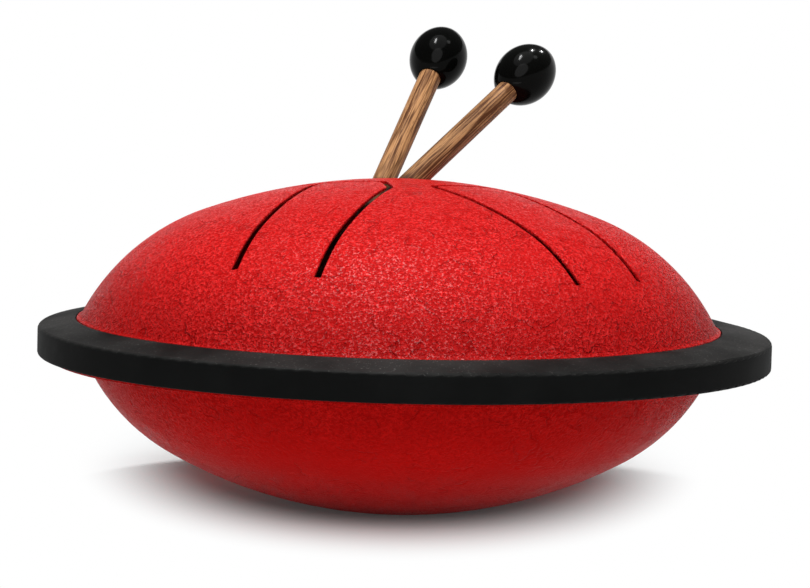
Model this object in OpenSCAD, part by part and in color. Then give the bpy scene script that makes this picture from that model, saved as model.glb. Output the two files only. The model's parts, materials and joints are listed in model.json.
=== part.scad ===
// Steel tongue drum: two pressed steel shells bonded to a rubber ring, with two mallets in the mallet hole.
// The origin is on the table under the middle of the ring. X points right, Y to the back and Z up.

/* [Rubber ring] */
// Outside diameter of the ring
ring_d = 330; // [322:1:350]
// How far the ring reaches in past the inside of the nearer wall
ring_in_w = 1.85; // [0.5:0.05:8]
// Height of the ring's outer side
ring_side_h = 13; // [10:0.5:18]
// Rise of the ring's top face from its rim to the shell
ring_rise = 3.2; // [2.4:0.1:4]
// Width of the sloped band next to the rim
ring_slope_w = 15; // [8:0.5:17]
// Rounding of the ring's upper edge
ring_top_round = 2; // [0.5:0.25:3]
// Rounding of the ring's lower edge
ring_low_round = 1.2; // [0.5:0.1:3]
// How far the ring sits to the right of the shells' axis
ring_shift = 2.8; // [0:0.1:4]

/* [Steel shells] */
// Thickness of the shell steel with its paint
steel_t = 1.5; // [1:0.1:2]
// Thickness of each layer of adhesive
bond_t = 0.4; // [0.2:0.1:1]
// Radius of the upper crown
crown_r = 259; // [250:1:300]
// Radius of the upper knuckle
knuckle_r = 98; // [90:1:100]
// Angle at which the upper crown meets its knuckle
crown_turn = 20.2; // [16:0.2:22]
// Height of the crown above the ring's rim
dome_h = 67.6; // [64:0.2:72]
// Reach of the upper lip beyond the wall
lip_reach = 1.5; // [1.2:0.1:3]
// Clearance between the upper lip's edge and the seat sunk in the ring for it
seat_gap = 0.4; // [0.3:0.05:1]
// Radius of the hollow bend between a wall and its lip or flange
bend_r = 2.2; // [1:0.1:3]
// Radius of the lower crown
bowl_crown_r = 213; // [205:1:240]
// Radius of the lower knuckle
bowl_knuckle_r = 86; // [80:1:92]
// Angle at which the lower crown meets its knuckle
bowl_turn = 29.4; // [26:0.2:31]
// Depth of the bowl below the ring's rim
bowl_h = 82.1; // [76:0.2:86]
// Reach of the lower flange beyond the wall
flange_reach = 16.4; // [8:0.2:20]
// Diameter of the sound port in the bottom
port_d = 40; // [30:1:48]
// Diameter of the flat land round the port, on which the drum stands
land_d = 50; // [44:1:70]

/* [Tongues] */
// Width of each slit
slit_w = 3; // [1.5:0.1:3.5]
// Diameter of the circle on which the slits end, about the ring's axis
root_d = 241.8; // [236:0.2:246]
// How far the point that the tongues aim at lies to the left of the ring's axis
aim_left = 9.1; // [4:0.1:12]
// How far the point that the tongues aim at lies behind the ring's axis
aim_back = 32.8; // [30:0.1:36]
// Width of the front and side tongues
wide_tongue_w = 36.7; // [32:0.1:38]
// Width of the back tongues
slim_tongue_w = 31; // [26:0.5:32]
// Width of the land left between neighbouring tips
land_w = 17.5; // [10:0.5:20]
// Length of the front left tongue
front_left_l = 105; // [98:0.5:108]
// Length of the front right tongue
front_right_l = 96.5; // [90:0.5:102]
// Length of the right side tongue
side_right_l = 80; // [72:0.5:86]
// Length of the left side tongue
side_left_l = 76; // [70:0.5:86]
// Length of the back right tongue
back_right_l = 58; // [50:0.5:62]
// Length of the back left tongue
back_left_l = 54; // [48:0.5:62]

/* [Mallet hole] */
// Diameter of the mallet hole
hole_d = 34; // [32:0.2:38]
// How far the mallet hole lies to the left of the ring's axis
hole_left = 7.1; // [4:0.1:10]
// How far the mallet hole lies behind the ring's axis
hole_back = 36.2; // [34:0.1:40]

/* [Mallets] */
// Diameter of a mallet's handle
stick_d = 10.6; // [8:0.1:10.8]
// Length of a mallet's handle, with what the head hides
stick_l = 217; // [180:1:240]
// Rounding of a handle's lower end
stick_round = 1.5; // [0.5:0.1:3]
// Diameter of a mallet's oval head
head_d = 27.4; // [24:0.1:28.6]
// Length of a mallet's oval head
head_l = 36; // [32:0.2:44]
// Radius of the head's two ends
head_end_r = 11; // [9:0.2:12]
// Depth of the bore in a mallet's head
head_bore_h = 18; // [12:0.5:20]
// Length of handle from the mallet hole to the middle of a head
stick_out_l = 98.6; // [80:0.1:110]
// Clearance between a handle and the edge of the hole
stick_gap = 0.3; // [0.1:0.05:0.6]

/* [Hidden] */
// Spare length of every cutter
over = 5;
$fn = 160;

// Turn of each tongue from the pattern's front, counted to the right
pattern_turn = 10.8;
tongue_turns = [-29.2, 29.2, 101, 152, 208, 259];
tongue_widths = [wide_tongue_w, wide_tongue_w, wide_tongue_w, slim_tongue_w, slim_tongue_w, wide_tongue_w];
tongue_lengths = [front_left_l, front_right_l, side_right_l, back_right_l, back_left_l, side_left_l];

// How each handle lies in the hole: heading from the back to the right, climb above the hole's plane,
// and the side of the hole that it leans on, counted from its heading to the left
left_lie = [20.2, 41.4, 48.4];
right_lie = [40.2, 34.1, -81.7];

// Heights above the table
land_turn = asin(land_d / 2 / bowl_crown_r);
land_sag = bowl_crown_r * (1 - cos(land_turn));
rim_z = bowl_h - land_sag;
crown_z = rim_z + dome_h - crown_r;
bowl_crown_z = bowl_crown_r - land_sag;
ring_low_z = rim_z - ring_side_h;
lip_top_z = rim_z + ring_rise;
lip_low_z = lip_top_z - steel_t;
seat_z = lip_low_z - bond_t;
flange_top_z = ring_low_z - bond_t;
flange_low_z = flange_top_z - steel_t;

// Middle of each knuckle, as distance from the shells' axis and height
knuckle_mid = [(crown_r - knuckle_r) * sin(crown_turn), crown_z + (crown_r - knuckle_r) * cos(crown_turn)];
bowl_mid = [(bowl_crown_r - bowl_knuckle_r) * sin(bowl_turn),
            bowl_crown_z - (bowl_crown_r - bowl_knuckle_r) * cos(bowl_turn)];

// Reach of a circle at a height, from the shells' axis
function reach(mid, r, z) = mid[0] + sqrt(r * r - (z - mid[1]) * (z - mid[1]));

lip_r = reach(knuckle_mid, knuckle_r, lip_top_z) + lip_reach;
dome_foot_r = reach(knuckle_mid, knuckle_r - steel_t, lip_low_z);
bowl_foot_r = reach(bowl_mid, bowl_knuckle_r - steel_t, flange_top_z);
flange_d = 2 * (reach(bowl_mid, bowl_knuckle_r, flange_low_z) + flange_reach);
ring_bore_d = 2 * (min(dome_foot_r, bowl_foot_r) - ring_in_w);

// Distance from the hole's middle to the far side of a handle, where it passes the hole's edge
function handle_far(climb, around, dist) =
    let (x = dist * cos(around),
         y = dist * sin(around),
         r = stick_d / 2)
    max([for (t = [0:5:355]) norm([x + r / sin(climb) * cos(t), y + r * sin(t)])]);

// Distance from the hole's middle to a handle's axis that leaves the clearance, worked out in steps
function handle_dist(climb, around, dist, steps) =
    steps == 0 ? dist
    : handle_dist(climb, around, dist + hole_d / 2 - stick_gap - handle_far(climb, around, dist), steps - 1);

// Distance along a tongue from the aim point to the root circle, at an offset from its centre line
function root_far(turn, off) =
    let (side = -aim_left * cos(turn) + aim_back * sin(turn) + off,
         out = -aim_left * sin(turn) - aim_back * cos(turn))
    sqrt(root_d * root_d / 4 - side * side) - out;

// Solid of revolution about the shells' axis
module on_shell_axis() {
    translate([-ring_shift, 0, 0])
        children();
}

// Wedge of wall about mid between two turns from the vertical
module arc_wall(mid, r, from, to) {
    far = 2 * r;
    intersection() {
        translate(mid)
            difference() {
                circle(r, $fn = 360);
                circle(r - steel_t, $fn = 360);
            }
        polygon([mid, mid + far * [sin(to), cos(to)], mid + far * [sin(from), cos(from)]]);
    }
}

// Half section of a shell opening down: crown, knuckle, hollow bend and a rim of steel from low_z to end_r
module shell_section(r, k, from, turn, z, low_z, end_r) {
    mid = [(r - k) * sin(turn), z + (r - k) * cos(turn)];
    bend_z = low_z + steel_t + bend_r;
    bend_turn = acos((bend_z - mid[1]) / (k + bend_r));
    bend_x = mid[0] + (k + bend_r) * sin(bend_turn);
    arc_wall([0, z], r, from, turn);
    arc_wall(mid, k, turn, bend_turn);
    difference() {
        polygon([[mid[0] + (low_z - mid[1]) * tan(bend_turn), low_z], [end_r, low_z],
                 [end_r, low_z + steel_t], [bend_x, low_z + steel_t], [bend_x, bend_z]]);
        translate([bend_x, bend_z])
            circle(bend_r, $fn = 96);
        translate(mid)
            circle(k - steel_t, $fn = 360);
    }
}

// One side of a slit's inner or outer edge, from its end to the tongue's tip; side is 1 or -1
function edge_side(side, w, tip, gap, far, grow) =
    let (h = w / 2 + grow,
         t = tip - grow,
         g = land_w / 2 + slit_w - grow,
         y = (g + h * cos(gap)) / sin(gap))
    concat([[side * h, -far]],
           y > t ? [[side * h, -y], [side * (t * sin(gap) - g) / cos(gap), -t]] : [[side * h, -t]]);

function reversed(list) = [for (i = [len(list) - 1:-1:0]) list[i]];

// Slit round one tongue, seen from above; its corners are clipped along the lines between neighbours
module slit_shape(i) {
    turn = pattern_turn + tongue_turns[i];
    w = tongue_widths[i];
    count = len(tongue_turns);
    before = (tongue_turns[i] - tongue_turns[(i + count - 1) % count] + 360) % 360 / 2;
    after = (tongue_turns[(i + 1) % count] - tongue_turns[i] + 360) % 360 / 2;
    left_far = root_far(turn, -(w + slit_w) / 2);
    right_far = root_far(turn, (w + slit_w) / 2);
    tip = root_far(turn, 0) - tongue_lengths[i];
    outer_left = edge_side(-1, w, tip, before, left_far, slit_w);
    outer_right = edge_side(1, w, tip, after, right_far, slit_w);
    inner_left = edge_side(-1, w, tip, before, left_far, 0);
    inner_right = edge_side(1, w, tip, after, right_far, 0);
    translate([-aim_left, aim_back])
        rotate(turn)
            polygon(concat(outer_right, reversed(outer_left), inner_left, reversed(inner_right)));
}

// Flat land between the port and the lower crown, drawn opening down; it laps into the crown
module land_section() {
    port = port_d / 2;
    outer = land_d / 2;
    inner = [outer - steel_t * sin(land_turn), -steel_t * cos(land_turn)];
    polygon([[port, -steel_t], inner, [outer + steel_t / 2, -land_sag - steel_t / 2], [outer, 0], [port, 0]]);
}

// Frame of the mallet hole: its middle on the crown's outer face, Z square to the crown
module in_hole_frame() {
    dx = ring_shift - hole_left;
    lean = asin(norm([dx, hole_back]) / crown_r);
    spin = atan2(hole_back, dx);
    translate([-ring_shift, 0, crown_z])
        rotate([0, 0, spin])
            rotate([0, lean, 0])
                rotate([0, 0, -spin])
                    translate([0, 0, crown_r])
                        children();
}

module top_shell() {
    color([0.72, 0.12, 0.13])
        difference() {
            on_shell_axis()
                rotate_extrude()
                    shell_section(crown_r, knuckle_r, 0, crown_turn, crown_z, lip_low_z, lip_r);
            for (i = [0:len(tongue_turns) - 1])
                translate([0, 0, lip_top_z])
                    linear_extrude(dome_h + over)
                        slit_shape(i);
            in_hole_frame()
                translate([0, 0, -steel_t - over])
                    cylinder(d = hole_d, h = steel_t + 2 * over);
        }
}

module bottom_shell() {
    color([0.6, 0.1, 0.11])
        on_shell_axis()
            mirror([0, 0, 1])
                rotate_extrude() {
                    shell_section(bowl_crown_r, bowl_knuckle_r, land_turn, bowl_turn, -bowl_crown_z,
                                  -flange_top_z, flange_d / 2);
                    land_section();
                }
}

module rim_ring() {
    bore = ring_bore_d / 2;
    outer = ring_d / 2;
    color([0.12, 0.12, 0.12])
        difference() {
            rotate_extrude()
                difference() {
                    polygon([[bore, ring_low_z], [outer, ring_low_z], [outer, rim_z],
                             [outer - ring_top_round, rim_z], [outer - ring_slope_w, rim_z + ring_rise],
                             [bore, rim_z + ring_rise]]);
                    translate([outer - ring_top_round, rim_z - ring_top_round])
                        difference() {
                            square(ring_top_round + over);
                            circle(ring_top_round, $fn = 64);
                        }
                    translate([outer - ring_low_round, ring_low_z + ring_low_round])
                        mirror([0, 1])
                            difference() {
                                square(ring_low_round + over);
                                circle(ring_low_round, $fn = 64);
                            }
                }
            on_shell_axis()
                translate([0, 0, seat_z])
                    cylinder(r = lip_r + seat_gap, h = steel_t + bond_t + over);
        }
}

// Flat ring of adhesive about the shells' axis
module bond_ring(in_r, out_r, z) {
    on_shell_axis()
        translate([0, 0, z])
            difference() {
                cylinder(r = out_r, h = bond_t);
                translate([0, 0, -over])
                    cylinder(r = in_r, h = bond_t + 2 * over);
            }
}

module upper_bond() {
    color([0.2, 0.2, 0.2])
        bond_ring(dome_foot_r, lip_r - bond_t, seat_z);
}

module lower_bond() {
    color([0.2, 0.2, 0.2])
        bond_ring(bowl_foot_r, flange_d / 2 - bond_t, flange_top_z);
}

// Puts a mallet, drawn up the Z axis from the plane of the hole's edge, in its place
module place_mallet(lie) {
    edge_z = sqrt(crown_r * crown_r - hole_d * hole_d / 4) - crown_r;
    dist = handle_dist(lie[1], lie[2], hole_d / 4, 6);
    in_hole_frame()
        translate([0, 0, edge_z])
            rotate([0, 0, 90 - lie[0]])
                translate([dist * cos(lie[2]), dist * sin(lie[2]), 0])
                    rotate([0, 90 - lie[1], 0])
                        children();
}

module handle() {
    top = stick_out_l - head_l / 2 + head_bore_h;
    translate([0, 0, top - stick_l])
        rotate_extrude() {
            translate([0, stick_round])
                square([stick_d / 2, stick_l - stick_round]);
            square([stick_d / 2 - stick_round, stick_round]);
            translate([stick_d / 2 - stick_round, stick_round])
                intersection() {
                    circle(stick_round, $fn = 48);
                    translate([0, -stick_round])
                        square(stick_round);
                }
        }
}

// Half section of the oval head: its girth arc between two level lines, and its end arcs beyond them
module head_section() {
    end_z = head_l / 2 - head_end_r;
    half = head_d / 2;
    girth_r = (end_z * end_z + half * half - head_end_r * head_end_r) / (2 * (half - head_end_r));
    joint_z = girth_r * end_z / (girth_r - head_end_r);
    intersection() {
        translate([half - girth_r, 0])
            circle(girth_r, $fn = 360);
        translate([0, -joint_z])
            square([head_d, 2 * joint_z]);
    }
    for (side = [0, 1])
        mirror([0, side])
            intersection() {
                translate([0, end_z])
                    circle(head_end_r, $fn = 240);
                translate([0, joint_z])
                    square([head_d, head_l]);
            }
}

module head() {
    translate([0, 0, stick_out_l])
        difference() {
            rotate_extrude()
                head_section();
            translate([0, 0, -head_l / 2 - over])
                cylinder(d = stick_d, h = head_bore_h + over);
        }
}

module left_mallet_handle() {
    color([0.55, 0.36, 0.2])
        place_mallet(left_lie)
            handle();
}

module left_mallet_head() {
    color([0.06, 0.06, 0.06])
        place_mallet(left_lie)
            head();
}

module right_mallet_handle() {
    color([0.55, 0.36, 0.2])
        place_mallet(right_lie)
            handle();
}

module right_mallet_head() {
    color([0.06, 0.06, 0.06])
        place_mallet(right_lie)
            head();
}

top_shell();
bottom_shell();
rim_ring();
upper_bond();
lower_bond();
left_mallet_handle();
left_mallet_head();
right_mallet_handle();
right_mallet_head();
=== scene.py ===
"""Steel tongue drum: finishes, detailed pieces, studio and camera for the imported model.

Lengths are in metres, in the part's own frame: the origin is on the table under the middle of the
rubber ring, X points right, Y to the back and Z up.
"""
import json
import logging
import math
from dataclasses import dataclass
from enum import Enum

import bmesh
import bpy
from mathutils import Matrix, Vector


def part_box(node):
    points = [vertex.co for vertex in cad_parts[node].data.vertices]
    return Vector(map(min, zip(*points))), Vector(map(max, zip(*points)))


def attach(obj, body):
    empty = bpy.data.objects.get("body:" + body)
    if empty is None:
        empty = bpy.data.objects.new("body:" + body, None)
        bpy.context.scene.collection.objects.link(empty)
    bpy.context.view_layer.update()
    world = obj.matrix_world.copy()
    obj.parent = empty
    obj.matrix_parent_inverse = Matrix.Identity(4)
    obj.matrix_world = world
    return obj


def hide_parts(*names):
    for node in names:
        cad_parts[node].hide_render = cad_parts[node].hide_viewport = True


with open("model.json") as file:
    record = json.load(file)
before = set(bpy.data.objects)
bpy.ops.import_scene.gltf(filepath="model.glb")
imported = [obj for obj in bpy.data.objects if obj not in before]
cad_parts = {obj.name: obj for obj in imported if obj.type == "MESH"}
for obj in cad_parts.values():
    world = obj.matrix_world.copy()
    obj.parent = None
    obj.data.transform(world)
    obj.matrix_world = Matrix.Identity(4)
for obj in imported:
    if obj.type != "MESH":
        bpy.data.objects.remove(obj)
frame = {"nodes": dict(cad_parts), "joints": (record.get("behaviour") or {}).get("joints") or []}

LOG = logging.getLogger("tongue_drum")
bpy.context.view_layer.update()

Colour = tuple[float, float, float, float]
Socket = bpy.types.NodeSocket
# What a node's input takes: a socket to link, or a plain value to write
Feed = Socket | Vector | Colour | float

UP = Vector((0.0, 0.0, 1.0))
NOISE_MIDDLE = 0.5
# A Mix node has several sockets of each name, so its colour sockets go by number
MIX_AMOUNT = 0
MIX_FIRST = 6
MIX_SECOND = 7
MIX_RESULT = 2


class Body(Enum):
    """The rigid bodies that pieces ride on."""

    DRUM = "drum"
    LEFT_MALLET = "left_mallet"
    RIGHT_MALLET = "right_mallet"


class Kind(Enum):
    """The kinds of socket that the effect groups have."""

    COLOUR = "NodeSocketColor"
    VALUE = "NodeSocketFloat"


@dataclass(frozen=True)
class Span:
    """A stretch of values, and what its two ends become."""

    low: float
    high: float
    to_low: float = 0.0
    to_high: float = 1.0


@dataclass(frozen=True)
class Noise:
    """A noise's number of features a metre, and its number of finer layers."""

    scale: float
    detail: float = 1.0


@dataclass(frozen=True)
class Warp:
    """How a pattern wanders: its number of wanderings a metre, and their reach."""

    scale: float
    reach: float


@dataclass(frozen=True)
class Rig:
    """A node tree with short calls for adding and joining nodes."""

    tree: bpy.types.NodeTree

    def add(self, kind: str, **settings: object) -> bpy.types.Node:
        """Adds a node and sets its properties.

        Args:
            kind: The node's type name.
            settings: Property names and their values.

        Returns:
            The new node.
        """
        node = self.tree.nodes.new(kind)
        for name, value in settings.items():
            setattr(node, name, value)
        return node

    def join(self, source: Socket, target: Socket) -> None:
        """Links one socket to another."""
        self.tree.links.new(source, target)

    def feed(self, target: Socket, value: Feed) -> None:
        """Links a socket, or writes a plain value, into a target socket.

        Args:
            target: The input socket.
            value: A socket to link, or a value to write.
        """
        if isinstance(value, Socket):
            self.join(value, target)
        else:
            target.default_value = value

    def place(self) -> Socket:
        """Reads the Object coordinates."""
        return self.add("ShaderNodeTexCoord").outputs["Object"]

    def parts(self, vector: Socket) -> bpy.types.Node:
        """Splits a vector into X, Y and Z.

        Args:
            vector: The vector.

        Returns:
            The node, with outputs X, Y and Z.
        """
        node = self.add("ShaderNodeSeparateXYZ")
        self.join(vector, node.inputs[0])
        return node

    def maths(self, operation: str, first: Feed, second: Feed | None = None, clamp: bool = False) -> Socket:
        """Adds a Math node.

        Args:
            operation: The node's operation.
            first: The first value or socket.
            second: The second value or socket.
            clamp: Whether the result is kept between 0 and 1.

        Returns:
            The result socket.
        """
        node = self.add("ShaderNodeMath", operation=operation, use_clamp=clamp)
        self.feed(node.inputs[0], first)
        if second is not None:
            self.feed(node.inputs[1], second)
        return node.outputs[0]

    def vectors(self, operation: str, first: Feed, second: Feed) -> bpy.types.Node:
        """Adds a Vector Math node.

        Args:
            operation: The node's operation.
            first: The first vector.
            second: The second vector, or the factor of a SCALE.

        Returns:
            The node.
        """
        node = self.add("ShaderNodeVectorMath", operation=operation)
        self.feed(node.inputs[0], first)
        self.feed(node.inputs["Scale" if operation == "SCALE" else 1], second)
        return node

    def span(self, value: Feed, span: Span) -> Socket:
        """Adds a smooth Map Range node.

        Args:
            value: The value or socket to map.
            span: The stretch of values and its results.

        Returns:
            The result socket.
        """
        node = self.add("ShaderNodeMapRange", interpolation_type="SMOOTHSTEP")
        self.feed(node.inputs["Value"], value)
        node.inputs["From Min"].default_value = span.low
        node.inputs["From Max"].default_value = span.high
        node.inputs["To Min"].default_value = span.to_low
        node.inputs["To Max"].default_value = span.to_high
        return node.outputs["Result"]

    def noise(self, vector: Socket, noise: Noise, output: str = "Fac") -> Socket:
        """Adds a Noise Texture node.

        Args:
            vector: The coordinates.
            noise: The noise's fineness.
            output: The output's name, Fac for one value or Color for three.

        Returns:
            The output socket.
        """
        node = self.add("ShaderNodeTexNoise")
        self.join(vector, node.inputs["Vector"])
        node.inputs["Scale"].default_value = noise.scale
        node.inputs["Detail"].default_value = noise.detail
        return node.outputs[output]

    def off_middle(self, value: Socket) -> Socket:
        """Measures how far a noise is from its middle value."""
        return self.maths("ABSOLUTE", self.maths("SUBTRACT", value, NOISE_MIDDLE))

    def mix(self, amount: Feed, first: Feed, second: Feed, blend: str = "MIX") -> Socket:
        """Adds a colour Mix node.

        Args:
            amount: The mix factor.
            first: The first colour or socket.
            second: The second colour or socket.
            blend: The blend type.

        Returns:
            The result socket.
        """
        node = self.add("ShaderNodeMix", data_type="RGBA", blend_type=blend)
        self.feed(node.inputs[MIX_AMOUNT], amount)
        self.feed(node.inputs[MIX_FIRST], first)
        self.feed(node.inputs[MIX_SECOND], second)
        return node.outputs[MIX_RESULT]

    def warp(self, vector: Socket, warp: Warp) -> Socket:
        """Shifts coordinates by a noise, so that a pattern wanders.

        Args:
            vector: The coordinates.
            warp: How far and how often the pattern wanders.

        Returns:
            The shifted coordinates.
        """
        noise = self.noise(vector, Noise(warp.scale), "Color")
        centred = self.vectors("SUBTRACT", noise, Vector((NOISE_MIDDLE,) * 3))
        shift = self.vectors("SCALE", centred.outputs[0], warp.reach)
        return self.vectors("ADD", vector, shift.outputs[0]).outputs[0]


class EffectGroup:
    """A shader node group with named sockets, built once."""

    def __init__(self, name: str, inputs: dict[str, Feed], outputs: dict[str, Kind]) -> None:
        """Makes the empty group.

        Args:
            name: The group's name.
            inputs: The name and default of each input.
            outputs: The name and kind of each output.
        """
        self.tree = bpy.data.node_groups.new(name, "ShaderNodeTree")
        self.rig = Rig(self.tree)
        for label, value in inputs.items():
            kind = Kind.COLOUR if isinstance(value, tuple) else Kind.VALUE
            socket = self.tree.interface.new_socket(name=label, in_out="INPUT", socket_type=kind.value)
            socket.default_value = value
        for label, kind in outputs.items():
            self.tree.interface.new_socket(name=label, in_out="OUTPUT", socket_type=kind.value)
        self.inlet = self.rig.add("NodeGroupInput")
        self.outlet = self.rig.add("NodeGroupOutput")

    def add_to(self, rig: Rig, **values: Feed) -> bpy.types.Node:
        """Adds the group to a material.

        Args:
            rig: The material's tree.
            values: Input names, with underscores for spaces, and their values or sockets.

        Returns:
            The group node.
        """
        node = rig.add("ShaderNodeGroup", node_tree=self.tree)
        for label, value in values.items():
            rig.feed(node.inputs[label.replace("_", " ")], value)
        return node


@dataclass(frozen=True)
class WrinklePattern:
    """Worm-like ridges, wandering creases and a fine grain, as a wrinkled powder coat has them, with painted
    highlight on the crests and painted shade in the valleys and creases.
    """

    wander: Warp = Warp(330.0, 0.0013)
    lumps: Noise = Noise(700.0)
    lump_edge: Span = Span(0.4, 0.6)
    worms: Noise = Noise(480.0)
    worm_edge: Span = Span(0.0, 0.1, 1.0, 0.0)
    worm_share: float = 0.5
    grain: Noise = Noise(2300.0, 2.0)
    grain_height: float = 0.12
    patches: Noise = Noise(30.0, 3.0)
    patch_edge: Span = Span(0.36, 0.64, 0.6, 1.0)
    wide_wander: Warp = Warp(120.0, 0.007)
    close_wander: Warp = Warp(400.0, 0.0016)
    folds: Noise = Noise(62.0)
    fold_edge: Span = Span(0.005, 0.02, 1.0, 0.0)
    breaks: Noise = Noise(85.0, 2.0)
    break_edge: Span = Span(0.47, 0.6)
    crease_depth: float = 0.7
    crease_shade: float = 0.6
    even_mix: float = 0.5
    grain_roughness: Span = Span(0.3, 0.7, 0.0, 0.1)
    ridge_roughness: Span = Span(0.2, 0.8, 0.42, 0.24)
    specks: Noise = Noise(1150.0)
    speck_edge: Span = Span(0.52, 0.62)
    ridge_glint: Span = Span(0.3, 0.7, 0.1, 1.0)

    def ridges(self, rig: Rig, place: Socket) -> Socket:
        """Builds the lumps and the worm-like ridges.

        Args:
            rig: The group's tree.
            place: The coordinates.

        Returns:
            The ridges, from 0 in a valley to 1 on a crest.
        """
        wandering = rig.warp(place, self.wander)
        lumps = rig.span(rig.noise(wandering, self.lumps), self.lump_edge)
        worms = rig.span(rig.off_middle(rig.noise(wandering, self.worms)), self.worm_edge)
        lumps = rig.maths("MULTIPLY", lumps, 1.0 - self.worm_share)
        return rig.maths("ADD", lumps, rig.maths("MULTIPLY", worms, self.worm_share))

    def creases(self, rig: Rig, place: Socket, amount: Socket) -> Socket:
        """Builds the long wandering creases, broken in places.

        Args:
            rig: The group's tree.
            place: The coordinates.
            amount: How strong the creases are.

        Returns:
            The creases, from 0 beside a crease to the amount in it.
        """
        wandering = rig.warp(rig.warp(place, self.wide_wander), self.close_wander)
        folds = rig.span(rig.off_middle(rig.noise(wandering, self.folds)), self.fold_edge)
        breaks = rig.span(rig.noise(place, self.breaks), self.break_edge)
        return rig.maths("MULTIPLY", rig.maths("MULTIPLY", folds, breaks), amount)

    def build(self) -> EffectGroup:
        """Builds the coat's group.

        Returns:
            The group, with Color, Roughness, Height and Glint outputs.
        """
        group = EffectGroup(
            "wrinkled coat",
            {"Valley": (0.4, 0.0, 0.0, 1.0), "Ridge": (0.8, 0.02, 0.02, 1.0), "Relief": 1.0, "Creases": 1.0},
            {"Color": Kind.COLOUR, "Roughness": Kind.VALUE, "Height": Kind.VALUE, "Glint": Kind.VALUE})
        rig, given, results = group.rig, group.inlet.outputs, group.outlet.inputs
        place = rig.place()
        ridges = self.ridges(rig, place)
        grain = rig.noise(place, self.grain)
        crease = self.creases(rig, place, given["Creases"])
        patchy = rig.maths("MULTIPLY", ridges, rig.span(rig.noise(place, self.patches), self.patch_edge))
        height = rig.maths("MULTIPLY", patchy, given["Relief"])
        height = rig.maths("ADD", height, rig.maths("MULTIPLY", grain, self.grain_height))
        height = rig.maths("SUBTRACT", height, rig.maths("MULTIPLY", crease, self.crease_depth))
        rig.join(height, results["Height"])
        # The colour is painted: lighter on the crests as painted highlight, darker in the valleys and
        # creases as painted shade.
        lit = rig.maths("SUBTRACT", patchy, rig.maths("MULTIPLY", crease, self.crease_shade), clamp=True)
        even = rig.mix(self.even_mix, given["Valley"], given["Ridge"])
        varied = rig.mix(lit, given["Valley"], given["Ridge"])
        rig.join(rig.mix(given["Relief"], even, varied), results["Color"])
        rough = rig.span(grain, self.grain_roughness)
        rough = rig.maths("ADD", rough, rig.span(ridges, self.ridge_roughness))
        rig.join(rough, results["Roughness"])
        specks = rig.span(rig.noise(place, self.specks), self.speck_edge)
        rig.join(rig.maths("MULTIPLY", specks, rig.span(ridges, self.ridge_glint)), results["Glint"])
        return group


@dataclass(frozen=True)
class WearPattern:
    """Dust on what faces up, which also paints upward faces lighter as painted light, and rubbed places,
    used on every finish.
    """

    specks: Noise = Noise(900.0, 2.0)
    speck_edge: Span = Span(0.62, 0.72)
    clouds: Noise = Noise(22.0, 4.0)
    cloud_edge: Span = Span(0.2, 0.8)
    facing_up: Span = Span(0.1, 0.9)
    film: float = 0.35
    rubs: Noise = Noise(70.0, 3.0)
    rub_edge: Span = Span(0.5, 0.68)

    def build(self) -> EffectGroup:
        """Builds the wear's group.

        Returns:
            The group, with Color and Rub outputs.
        """
        group = EffectGroup(
            "dust, painted light and rubbing",
            {"Color": (0.5, 0.5, 0.5, 1.0), "Dust Color": (0.4, 0.38, 0.36, 1.0), "Dust Amount": 0.1,
             "Rub Amount": 0.1},
            {"Color": Kind.COLOUR, "Rub": Kind.VALUE})
        rig, given, results = group.rig, group.inlet.outputs, group.outlet.inputs
        place = rig.place()
        specks = rig.span(rig.noise(place, self.specks), self.speck_edge)
        clouds = rig.span(rig.noise(place, self.clouds), self.cloud_edge)
        # The dust goes on upward faces, so it also paints them lighter, as painted light from above.
        normal = rig.parts(rig.add("ShaderNodeNewGeometry").outputs["Normal"])
        facing = rig.span(normal.outputs["Z"], self.facing_up)
        dust_and_painted_light = rig.maths("MULTIPLY", clouds, facing)
        dust_and_painted_light = rig.maths("MULTIPLY", dust_and_painted_light, rig.maths("ADD", specks, self.film))
        dust_and_painted_light = rig.maths("MULTIPLY", dust_and_painted_light, given["Dust Amount"], clamp=True)
        rig.join(rig.mix(dust_and_painted_light, given["Color"], given["Dust Color"]), results["Color"])
        rubs = rig.span(rig.noise(place, self.rubs), self.rub_edge)
        rig.join(rig.maths("MULTIPLY", rubs, given["Rub Amount"]), results["Rub"])
        return group


@dataclass(frozen=True)
class Effects:
    """The shared effects, each built once."""

    wrinkle: EffectGroup
    wear: EffectGroup


@dataclass(frozen=True)
class Finish:
    """A material with a Principled shader, and the settings that all finishes share."""

    name: str
    gloss: float
    dust_and_painted_light_colour: Colour
    dust_and_painted_light: float
    rubbing: float
    bump: float
    depth: float

    def start(self) -> tuple[bpy.types.Material, Rig, bpy.types.Node]:
        """Makes the material.

        Returns:
            The material, its tree and its Principled node.
        """
        material = bpy.data.materials.new(self.name)
        material.use_nodes = True
        rig = Rig(material.node_tree)
        shader = material.node_tree.nodes["Principled BSDF"]
        shader.inputs["Specular IOR Level"].default_value = self.gloss
        return material, rig, shader

    def worn(self, rig: Rig, effects: Effects, colour: Socket) -> bpy.types.Node:
        """Lays the finish's dust over a clean colour, as a node with outputs Color and Rub; on upward faces
        the dust also stands as painted light.
        """
        return effects.wear.add_to(rig, Color=colour, Dust_Color=self.dust_and_painted_light_colour, Dust_Amount=self.dust_and_painted_light,
                                   Rub_Amount=self.rubbing)

    def raise_surface(self, rig: Rig, shader: bpy.types.Node, height: Socket) -> None:
        """Feeds a height through a Bump node into the shader's Normal.

        Args:
            rig: The material's tree.
            shader: The Principled node.
            height: The height, where 1 stands for the finish's depth.
        """
        node = rig.add("ShaderNodeBump")
        node.inputs["Strength"].default_value = self.bump
        node.inputs["Distance"].default_value = self.depth
        rig.join(height, node.inputs["Height"])
        rig.join(node.outputs["Normal"], shader.inputs["Normal"])


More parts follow.
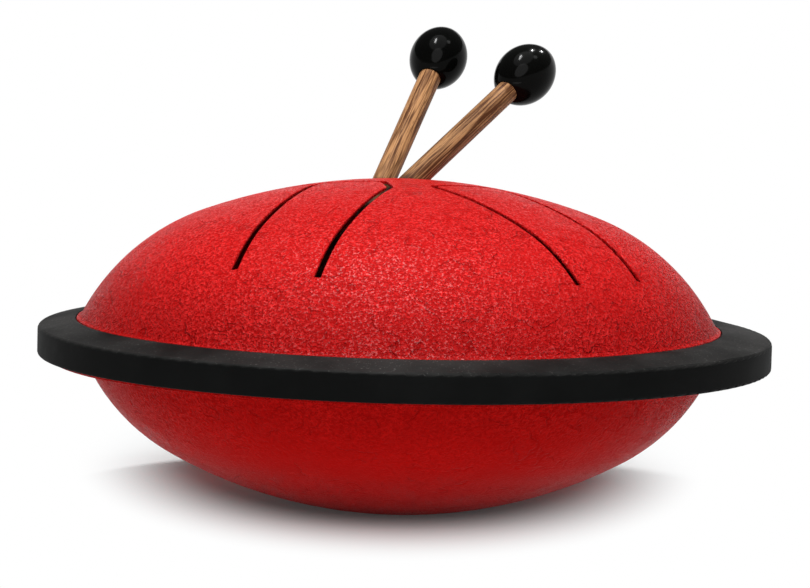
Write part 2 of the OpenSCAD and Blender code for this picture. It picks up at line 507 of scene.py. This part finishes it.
@dataclass(frozen=True, kw_only=True)
class WrinkleCoat(Finish):
    """Red wrinkled powder coat.

    Its relief fades over a height, its colour darkens over a height as painted shade, its crests carry
    painted highlight and its valleys painted shade, and its glints fade toward the sides.
    """

    dust_and_painted_light_colour: Colour = (0.5, 0.3, 0.28, 1.0)
    dust_and_painted_light: float = 0.02
    rubbing: float = 0.08
    bump: float = 1.0
    depth: float = 0.0007
    # Painted shade in the valleys and painted highlight on the crests, around the coat's own red
    shaded_valley: Colour = (0.48, 0.005, 0.005, 1.0)
    lit_ridge: Colour = (0.88, 0.0235, 0.0235, 1.0)
    relief: float = 1.0
    faded_share: float = 0.25
    # Heights under the floor leave the whole coat at its full relief
    fade_low: float = -1.0
    fade_high: float = -0.9
    creases: float = 1.0
    # Between these heights the colour is multiplied from the low to the top factor, as painted shade: darker
    # on the dome's lower part, and on the bowl's top under the ring.
    painted_shade_from: float = 0.01
    painted_shade_to: float = 0.065
    painted_shade_at_low: float = 1.0
    painted_shade_at_top: float = 1.0
    glints: float
    side_share: float = 0.08
    glints_to: float = 0.06
    sides_from: float = 0.12
    glint_roughness: float = 0.5

    def make(self, effects: Effects) -> bpy.types.Material:
        """Builds the coat.

        Args:
            effects: The shared effects.

        Returns:
            The material.
        """
        material, rig, shader = self.start()
        place = rig.parts(rig.place())
        fade = Span(self.fade_low, self.fade_high, self.faded_share * self.relief, self.relief)
        relief = rig.span(place.outputs["Z"], fade)
        coat = effects.wrinkle.add_to(rig, Valley=self.shaded_valley, Ridge=self.lit_ridge, Relief=relief,
                                      Creases=self.creases)
        # Painted shade: the colour is darkened by height.
        painted_shades = Span(self.painted_shade_from, self.painted_shade_to, self.painted_shade_at_low, self.painted_shade_at_top)
        tone = rig.span(place.outputs["Z"], painted_shades)
        worn = self.worn(rig, effects, rig.mix(1.0, coat.outputs["Color"], tone, "MULTIPLY"))
        shine = Span(self.glints_to, self.sides_from, self.glints, self.side_share * self.glints)
        polish = rig.span(rig.maths("ABSOLUTE", place.outputs["X"]), shine)
        rig.join(rig.maths("MULTIPLY", coat.outputs["Glint"], polish), shader.inputs["Coat Weight"])
        shader.inputs["Coat Roughness"].default_value = self.glint_roughness
        rig.join(worn.outputs["Color"], shader.inputs["Base Color"])
        rough = rig.maths("SUBTRACT", coat.outputs["Roughness"], worn.outputs["Rub"])
        rig.join(rough, shader.inputs["Roughness"])
        self.raise_surface(rig, shader, coat.outputs["Height"])
        return material


@dataclass(frozen=True, kw_only=True)
class MattRubber(Finish):
    """Black rubber with a faint mould grain."""

    dust_and_painted_light_colour: Colour = (0.3, 0.29, 0.28, 1.0)
    dust_and_painted_light: float = 0.05
    rubbing: float = 0.05
    bump: float = 0.6
    depth: float = 0.00004
    colour: Colour
    lighter: float = 1.35
    roughness: float
    roughness_spread: float = 0.03
    grain: Noise = Noise(1300.0, 3.0)
    clouds: Noise = Noise(35.0, 3.0)
    cloud_low: float = 0.3
    cloud_high: float = 0.7

    def make(self, effects: Effects) -> bpy.types.Material:
        """Builds the rubber.

        Args:
            effects: The shared effects.

        Returns:
            The material.
        """
        material, rig, shader = self.start()
        place = rig.place()
        clouds = rig.noise(place, self.clouds)
        cloudy = rig.span(clouds, Span(self.cloud_low, self.cloud_high))
        worn = self.worn(rig, effects, rig.mix(cloudy, self.colour, toned(self.colour, self.lighter)))
        rig.join(worn.outputs["Color"], shader.inputs["Base Color"])
        smooth, coarse = self.roughness - self.roughness_spread, self.roughness + self.roughness_spread
        rough = rig.span(clouds, Span(self.cloud_low, self.cloud_high, smooth, coarse))
        rig.join(rig.maths("SUBTRACT", rough, worn.outputs["Rub"]), shader.inputs["Roughness"])
        self.raise_surface(rig, shader, rig.noise(place, self.grain))
        return material


@dataclass(frozen=True, kw_only=True)
class OiledWood(Finish):
    """Brown hardwood with streaks and dark lines along a direction, darkened inside the drum as painted
    shade.
    """

    dust_and_painted_light_colour: Colour = (0.4, 0.3, 0.22, 1.0)
    dust_and_painted_light: float = 0.06
    rubbing: float = 0.1
    bump: float = 0.6
    depth: float = 0.00008
    along: Vector
    shade: float
    painted_shade_below: float
    dark: Colour = (0.1, 0.034, 0.012, 1.0)
    light: Colour = (0.5, 0.255, 0.11, 1.0)
    line_colour: Colour = (0.07, 0.024, 0.009, 1.0)
    painted_shade_colour: Colour = (0.05, 0.017, 0.007, 1.0)
    painted_shade_fade: float = 0.004
    painted_shade_amount: float = 0.75
    squeeze: float = 0.04
    wander: Warp = Warp(90.0, 0.002)
    bands: Noise = Noise(330.0, 2.0)
    streaks: Noise = Noise(1250.0, 3.0)
    streak_share: float = 0.6
    streak_height: float = 0.6
    tone_edge: Span = Span(0.41, 0.59)
    lines: Noise = Noise(620.0)
    line_edge: Span = Span(0.01, 0.05, 1.0, 0.0)
    lined_bands: Span = Span(0.35, 0.55)
    threads: Noise = Noise(2600.0, 2.0)
    thread_edge: Span = Span(0.3, 0.42, 1.0, 0.0)
    line_amount: float = 0.6
    roughness: Span = Span(0.3, 0.7, 0.42, 0.58)

    def upright(self, rig: Rig) -> Socket:
        """Turns the Object coordinates so that the wood's length lies along Z.

        Args:
            rig: The material's tree.

        Returns:
            The turned coordinates.
        """
        node = rig.add("ShaderNodeMapping", vector_type="POINT")
        rig.join(rig.place(), node.inputs["Vector"])
        node.inputs["Rotation"].default_value = self.along.rotation_difference(UP).to_euler("XYZ")
        return node.outputs["Vector"]

    def dark_lines(self, rig: Rig, lengthwise: Socket, bands: Socket) -> Socket:
        """Builds the long dark lines and the fine threads.

        Args:
            rig: The material's tree.
            lengthwise: The coordinates, squeezed along the wood.
            bands: The broad bands, which the long lines keep to.

        Returns:
            The lines, from 0 beside a line to 1 in it.
        """
        lines = rig.span(rig.off_middle(rig.noise(lengthwise, self.lines)), self.line_edge)
        lines = rig.maths("MULTIPLY", lines, rig.span(bands, self.lined_bands))
        return rig.maths("MAXIMUM", lines, rig.span(rig.noise(lengthwise, self.threads), self.thread_edge))

    def make(self, effects: Effects) -> bpy.types.Material:
        """Builds the wood.

        Args:
            effects: The shared effects.

        Returns:
            The material.
        """
        material, rig, shader = self.start()
        place = self.upright(rig)
        squeezed = rig.add("ShaderNodeMapping", vector_type="POINT")
        rig.join(place, squeezed.inputs["Vector"])
        squeezed.inputs["Scale"].default_value = (1.0, 1.0, self.squeeze)
        lengthwise = rig.warp(squeezed.outputs["Vector"], self.wander)
        bands = rig.noise(lengthwise, self.bands)
        streaks = rig.noise(lengthwise, self.streaks)
        tone = rig.maths("ADD", rig.maths("MULTIPLY", streaks, self.streak_share),
                         rig.maths("MULTIPLY", bands, 1.0 - self.streak_share))
        dark, light = toned(self.dark, self.shade), toned(self.light, self.shade)
        colour = rig.mix(rig.span(tone, self.tone_edge), dark, light)
        lines = self.dark_lines(rig, lengthwise, bands)
        colour = rig.mix(rig.maths("MULTIPLY", lines, self.line_amount), colour, self.line_colour)
        # Painted shade: the wood is darkened beyond the given point, where the handle reaches into the drum.
        painted_shade_span = Span(self.painted_shade_below - self.painted_shade_fade, self.painted_shade_below, self.painted_shade_amount, 0.0)
        colour = rig.mix(rig.span(rig.parts(place).outputs["Z"], painted_shade_span), colour, self.painted_shade_colour)
        worn = self.worn(rig, effects, colour)
        rig.join(worn.outputs["Color"], shader.inputs["Base Color"])
        rig.join(rig.span(streaks, self.roughness), shader.inputs["Roughness"])
        height = rig.maths("SUBTRACT", rig.maths("MULTIPLY", streaks, self.streak_height), lines)
        self.raise_surface(rig, shader, height)
        return material


@dataclass(frozen=True)
class RoundedPiece:
    """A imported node's own shape with its sharp outer edges rounded over, in the node's place."""

    node: str
    body: Body
    slot: str
    rounding: float = 0.0003
    rounding_steps: int = 2
    corner: float = math.radians(35.0)
    soft_corner: float = math.radians(50.0)
    merge: float = 1e-6
    sliver: float = 1e-7
    evenness: int = 50

    def shape(self) -> bmesh.types.BMesh:
        """Copies and merges the node's mesh, and bevels its sharp outer edges.

        Returns:
            The shape.
        """
        shape = bmesh.new()
        shape.from_mesh(frame["nodes"][self.node].data)
        bmesh.ops.remove_doubles(shape, verts=shape.verts, dist=self.merge)
        shape.normal_update()
        sharp = [edge for edge in shape.edges
                 if len(edge.link_faces) == 2 and edge.is_convex and edge.calc_face_angle() > self.corner]
        bmesh.ops.bevel(shape, geom=sharp, offset=self.rounding, offset_type="OFFSET",
                        segments=self.rounding_steps, profile=0.5, affect="EDGES", clamp_overlap=False,
                        material=-1)
        bmesh.ops.dissolve_degenerate(shape, edges=shape.edges, dist=self.sliver)
        return shape

    def make(self, material: bpy.types.Material) -> None:
        """Builds the piece and puts it in the node's place.

        Args:
            material: The piece's finish.
        """
        name = f"{self.node}_rounded"
        shape = self.shape()
        data = bpy.data.meshes.new(name)
        shape.to_mesh(data)
        shape.free()
        data.materials.append(material)
        for polygon in data.polygons:
            polygon.use_smooth = True
        data.set_sharp_from_angle(angle=self.soft_corner)
        piece = bpy.data.objects.new(name, data)
        bpy.context.scene.collection.objects.link(piece)
        even = piece.modifiers.new("even shading", "WEIGHTED_NORMAL")
        even.keep_sharp = True
        even.weight = self.evenness
        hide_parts(self.node)
        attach(piece, self.body.value)
        LOG.info("%s rounded, %d faces", self.node, len(data.polygons))


@dataclass(frozen=True)
class Shells:
    """The two pressed steel shells and the adhesive that bonds them to the ring."""

    top_rounding: float = 0.00035
    bowl_rounding: float = 0.0004
    # The dome's lower part and the bowl's top under the ring are painted darker, as painted shade.
    top_coat: WrinkleCoat = WrinkleCoat(
        "red wrinkle coat, dome", gloss=0.015, glints=1.0, painted_shade_from=0.088, painted_shade_to=0.124, painted_shade_at_low=0.72)
    bowl_coat: WrinkleCoat = WrinkleCoat(
        "red wrinkle coat, bowl", gloss=0.01, shaded_valley=(0.46, 0.003, 0.0025, 1.0),
        lit_ridge=(0.86, 0.012, 0.01, 1.0), relief=0.8, creases=0.8, fade_low=0.028, fade_high=0.066,
        depth=0.0005, glints=0.02, painted_shade_at_top=0.6)
    glue: MattRubber = MattRubber("dark adhesive", gloss=0.2, colour=(0.01, 0.01, 0.01, 1.0), roughness=0.6)

    def dress(self, effects: Effects) -> None:
        """Gives both shells and both bonds their finishes.

        Args:
            effects: The shared effects.
        """
        top = RoundedPiece("top_shell", Body.DRUM, "red_wrinkle_top", self.top_rounding)
        top.make(self.top_coat.make(effects))
        bowl = RoundedPiece("bottom_shell", Body.DRUM, "red_wrinkle_bottom", self.bowl_rounding)
        bowl.make(self.bowl_coat.make(effects))
        glue = self.glue.make(effects)
        put_on("upper_bond", glue)
        put_on("lower_bond", glue)


@dataclass(frozen=True)
class RimRing:
    """The rubber ring between the shells."""

    rounding: float = 0.0005
    # The ring's dust is raised so that its upward faces are painted lighter, as painted light from above.
    rubber: MattRubber = MattRubber(
        "black ring rubber", gloss=0.023, colour=(0.0045, 0.0047, 0.0046, 1.0), roughness=0.6, dust_and_painted_light=0.3)

    def dress(self, effects: Effects) -> None:
        """Gives the ring its rubber.

        Args:
            effects: The shared effects.
        """
        ring = RoundedPiece("rim_ring", Body.DRUM, "ring_rubber", self.rounding)
        ring.make(self.rubber.make(effects))


@dataclass(frozen=True)
class Mallet:
    """A mallet with a hardwood handle and an oval rubber head."""

    side: str
    body: Body
    along: Vector
    shade: float = 1.0
    unshaded_length: float = 0.1
    head_rounding: float = 0.0004

    def dress(self, effects: Effects) -> None:
        """Gives the handle and the head their finishes.

        Args:
            effects: The shared effects.
        """
        head_middle = sum(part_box(f"{self.side}_mallet_head"), Vector()) / 2
        # Beyond this length from the head's middle the handle is painted darker, as painted shade inside the
        # drum.
        wood = OiledWood(f"oiled wood, {self.side}", gloss=0.08, along=self.along, shade=self.shade,
                         painted_shade_below=self.along.dot(head_middle) - self.unshaded_length)
        handle = RoundedPiece(f"{self.side}_mallet_handle", self.body, "handle_wood")
        handle.make(wood.make(effects))
        rubber = MattRubber(f"smooth head rubber, {self.side}", gloss=0.045, roughness=0.13, depth=0.000006,
                            colour=(0.0018, 0.0019, 0.0017, 1.0), dust_and_painted_light=0.01)
        head = RoundedPiece(f"{self.side}_mallet_head", self.body, "head_rubber", self.head_rounding)
        head.make(rubber.make(effects))


@dataclass(frozen=True)
class PhotoCamera:
    """The camera at the photograph's place."""

    place: Vector = Vector((-0.000375, -1.642120, 0.257647))
    elevation: float = math.radians(5.6018)
    roll: float = math.radians(1.4418)
    lens_mm: float = 162.682
    sensor_mm: float = 36.0
    sees_from: float = 0.05
    sees_to: float = 60.0

    def make(self) -> None:
        """Builds the camera and makes it the scene's."""
        data = bpy.data.cameras.new("photo camera")
        data.lens = self.lens_mm
        data.sensor_width = self.sensor_mm
        data.sensor_fit = "HORIZONTAL"
        data.clip_start = self.sees_from
        data.clip_end = self.sees_to
        camera = bpy.data.objects.new("photo camera", data)
        bpy.context.scene.collection.objects.link(camera)
        back = Vector((0.0, -math.cos(self.elevation), math.sin(self.elevation)))
        right = Vector((1.0, 0.0, 0.0))
        up = Vector((0.0, math.sin(self.elevation), math.cos(self.elevation)))
        turned_right = math.cos(self.roll) * right + math.sin(self.roll) * up
        turned_up = -math.sin(self.roll) * right + math.cos(self.roll) * up
        axes = Matrix((turned_right, turned_up, back)).transposed()
        camera.matrix_world = Matrix.Translation(self.place) @ axes.to_4x4()
        bpy.context.scene.camera = camera


@dataclass(frozen=True)
class WhiteSweep:
    """A round white floor that bends up into a wall, clear white to the eye away from the drum."""

    reach: float = 9.0
    wall_height: float = 3.0
    bend: float = 1.2
    bend_steps: int = 8
    turn_steps: int = 96
    merge: float = 1e-5
    colour: Colour = (0.87, 0.89, 0.89, 1.0)
    roughness: float = 0.9
    brightness: float = 1.0
    # The visible shadow's ellipse; beyond it the glow covers the drum's real shadow as painted light.
    shadow_shape: Vector = Vector((1.0, 0.474, 1.0))
    shadow_middle: Vector = Vector((-0.0064, 0.0846, 0.0))
    clearness: Span = Span(0.097, 0.157, 0.03, 1.0)

    def make(self) -> None:
        """Builds the floor and its curved wall, spun round the Z axis."""
        mesh = bmesh.new()
        flat = self.reach - self.bend
        points = [Vector((0.0, 0.0, 0.0)), Vector((flat, 0.0, 0.0))]
        for step in range(1, self.bend_steps + 1):
            turn = math.radians(90.0 * step / self.bend_steps)
            points.append(Vector((flat + self.bend * math.sin(turn), 0.0,
                                  self.bend - self.bend * math.cos(turn))))
        points.append(Vector((self.reach, 0.0, self.wall_height)))
        corners = [mesh.verts.new(point) for point in points]
        edges = [mesh.edges.new(pair) for pair in zip(corners, corners[1:])]
        bmesh.ops.spin(mesh, geom=corners + edges, cent=(0.0, 0.0, 0.0), axis=(0.0, 0.0, 1.0),
                       angle=math.tau, steps=self.turn_steps, use_merge=True)
        bmesh.ops.remove_doubles(mesh, verts=mesh.verts, dist=self.merge)
        bmesh.ops.recalc_face_normals(mesh, faces=mesh.faces)
        data = bpy.data.meshes.new("white sweep")
        mesh.to_mesh(data)
        mesh.free()
        for polygon in data.polygons:
            polygon.use_smooth = True
        sweep = bpy.data.objects.new("white_sweep", data)
        bpy.context.scene.collection.objects.link(sweep)
        data.materials.append(self.paint())

    def clear(self, rig: Rig) -> Socket:
        """Measures how clear the floor is: least under the drum, and full beyond the given ellipse, so that
        the white backdrop glow also lifts the outer part of the drum's real shadow, as painted light.

        Args:
            rig: The paint's tree.

        Returns:
            The clearness, for rays from the eye and their mirrored and transmitted ones only.
        """
        shaped = rig.vectors("MULTIPLY", rig.place(), self.shadow_shape)
        away = rig.vectors("DISTANCE", shaped.outputs[0], self.shadow_middle)
        clear = rig.span(away.outputs["Value"], self.clearness)
        path = rig.add("ShaderNodeLightPath")
        seen = rig.maths("MAXIMUM", path.outputs["Is Camera Ray"], path.outputs["Is Glossy Ray"])
        seen = rig.maths("MAXIMUM", seen, path.outputs["Is Transmission Ray"])
        return rig.maths("MULTIPLY", clear, seen)

    def paint(self) -> bpy.types.Material:
        """Builds the sweep's paint.

        Returns:
            The material.
        """
        material = bpy.data.materials.new("white sweep paint")
        material.use_nodes = True
        rig = Rig(material.node_tree)
        shader = material.node_tree.nodes["Principled BSDF"]
        shader.inputs["Base Color"].default_value = self.colour
        shader.inputs["Roughness"].default_value = self.roughness
        shader.inputs["Specular IOR Level"].default_value = 0.0
        glow = rig.add("ShaderNodeEmission")
        glow.inputs["Strength"].default_value = self.brightness
        blend = rig.add("ShaderNodeMixShader")
        rig.join(self.clear(rig), blend.inputs[0])
        rig.join(shader.outputs[0], blend.inputs[1])
        rig.join(glow.outputs[0], blend.inputs[2])
        rig.join(blend.outputs[0], material.node_tree.nodes["Material Output"].inputs["Surface"])
        return material


@dataclass(frozen=True)
class Lamp:
    """A lamp's place, its power in watts and the point it faces, by default the drum's middle."""

    name: str
    place: Vector
    power: float
    aim: Vector = Vector((0.0, 0.0, 0.08))

    def put(self, data: bpy.types.Light) -> None:
        """Puts a lamp in its place and turns it to its aim.

        Args:
            data: The lamp's data.
        """
        data.energy = self.power
        lamp = bpy.data.objects.new(self.name, data)
        bpy.context.scene.collection.objects.link(lamp)
        facing = (self.aim - self.place).to_track_quat("-Z", "Y")
        lamp.matrix_world = Matrix.Translation(self.place) @ facing.to_matrix().to_4x4()


@dataclass(frozen=True, kw_only=True)
class SoftBox(Lamp):
    """A wide soft lamp."""

    width: float
    height: float

    def make(self) -> None:
        """Builds the softbox."""
        data = bpy.data.lights.new(self.name, "AREA")
        data.shape = "ELLIPSE"
        data.size = self.width
        data.size_y = self.height
        self.put(data)


@dataclass(frozen=True)
class PointSpot(Lamp):
    """A small lamp with a narrow cone, as wide as the spot's radius at its aim, for one bright point."""

    spot_radius: float = 0.005
    lamp_radius: float = 0.004
    blend: float = 0.3

    def make(self) -> None:
        """Builds the spot lamp."""
        data = bpy.data.lights.new(self.name, "SPOT")
        data.shadow_soft_size = self.lamp_radius
        data.spot_size = 2.0 * math.atan2(self.spot_radius, (self.aim - self.place).length)
        data.spot_blend = self.blend
        self.put(data)


@dataclass(frozen=True)
class Studio:
    """A white sweep, soft lamps, two spots for the right head's bright points, and a quiet world."""

    sweep: WhiteSweep = WhiteSweep()
    ambient: float = 0.1
    lamps: tuple[SoftBox | PointSpot, ...] = (
        SoftBox("top panel", Vector((0.02, -0.12, 1.7)), 10.0, width=1.5, height=1.5),
        SoftBox("top strip", Vector((-0.17, 0.05, 1.6)), 13.0, width=0.4, height=0.12),
        SoftBox("right panel", Vector((0.84, 0.15, 1.6)), 1.3, width=0.3, height=0.3),
        SoftBox("front key", Vector((0.1, -1.2, 1.3)), 14.0, width=1.3, height=1.3),
        SoftBox("front fill", Vector((-0.1, -1.5, 0.1)), 1.9, width=1.2, height=0.16),
        PointSpot("first spot", Vector((0.43, 0.8, 1.6)), 60.0, Vector((0.057, 0.0933, 0.2046))),
        PointSpot("second spot", Vector((1.02, 1.35, 1.6)), 60.0, Vector((0.0612, 0.0954, 0.2043))))

    def make(self) -> None:
        """Builds the sweep, the lamps and the world."""
        scene = bpy.context.scene
        scene.view_settings.view_transform = "Standard"
        self.sweep.make()
        for lamp in self.lamps:
            lamp.make()
        world = bpy.data.worlds.new("quiet studio")
        scene.world = world
        world.use_nodes = True
        back = world.node_tree.nodes["Background"]
        back.inputs["Color"].default_value = (1.0, 1.0, 1.0, 1.0)
        back.inputs["Strength"].default_value = self.ambient


def toned(colour: Colour, factor: float) -> Colour:
    """Multiplies a colour's red, green and blue by a factor."""
    return tuple(min(1.0, part * factor) for part in colour[:3]) + (1.0,)


def put_on(node: str, material: bpy.types.Material) -> None:
    """Gives a CAD node one material.

    Args:
        node: The node's name.
        material: The material.
    """
    data = frame["nodes"][node].data
    data.materials.clear()
    data.materials.append(material)
    LOG.info("%s dressed", node)


def joint_axis(name: str) -> Vector:
    """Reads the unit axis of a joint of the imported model."""
    joint = next(joint for joint in frame["joints"] if joint["name"] == name)
    return Vector(joint["axis"]).normalized()


def main() -> None:
    """Builds the camera, the studio and each sub-assembly in order."""
    logging.basicConfig(level=logging.INFO, format="%(name)s: %(message)s")
    PhotoCamera().make()
    Studio().make()
    effects = Effects(WrinklePattern().build(), WearPattern().build())
    Shells().dress(effects)
    RimRing().dress(effects)
    Mallet("left", Body.LEFT_MALLET, joint_axis("left_mallet_lift")).dress(effects)
    Mallet("right", Body.RIGHT_MALLET, joint_axis("right_mallet_lift"), shade=0.8).dress(effects)


if __name__ == "__main__":
    main()
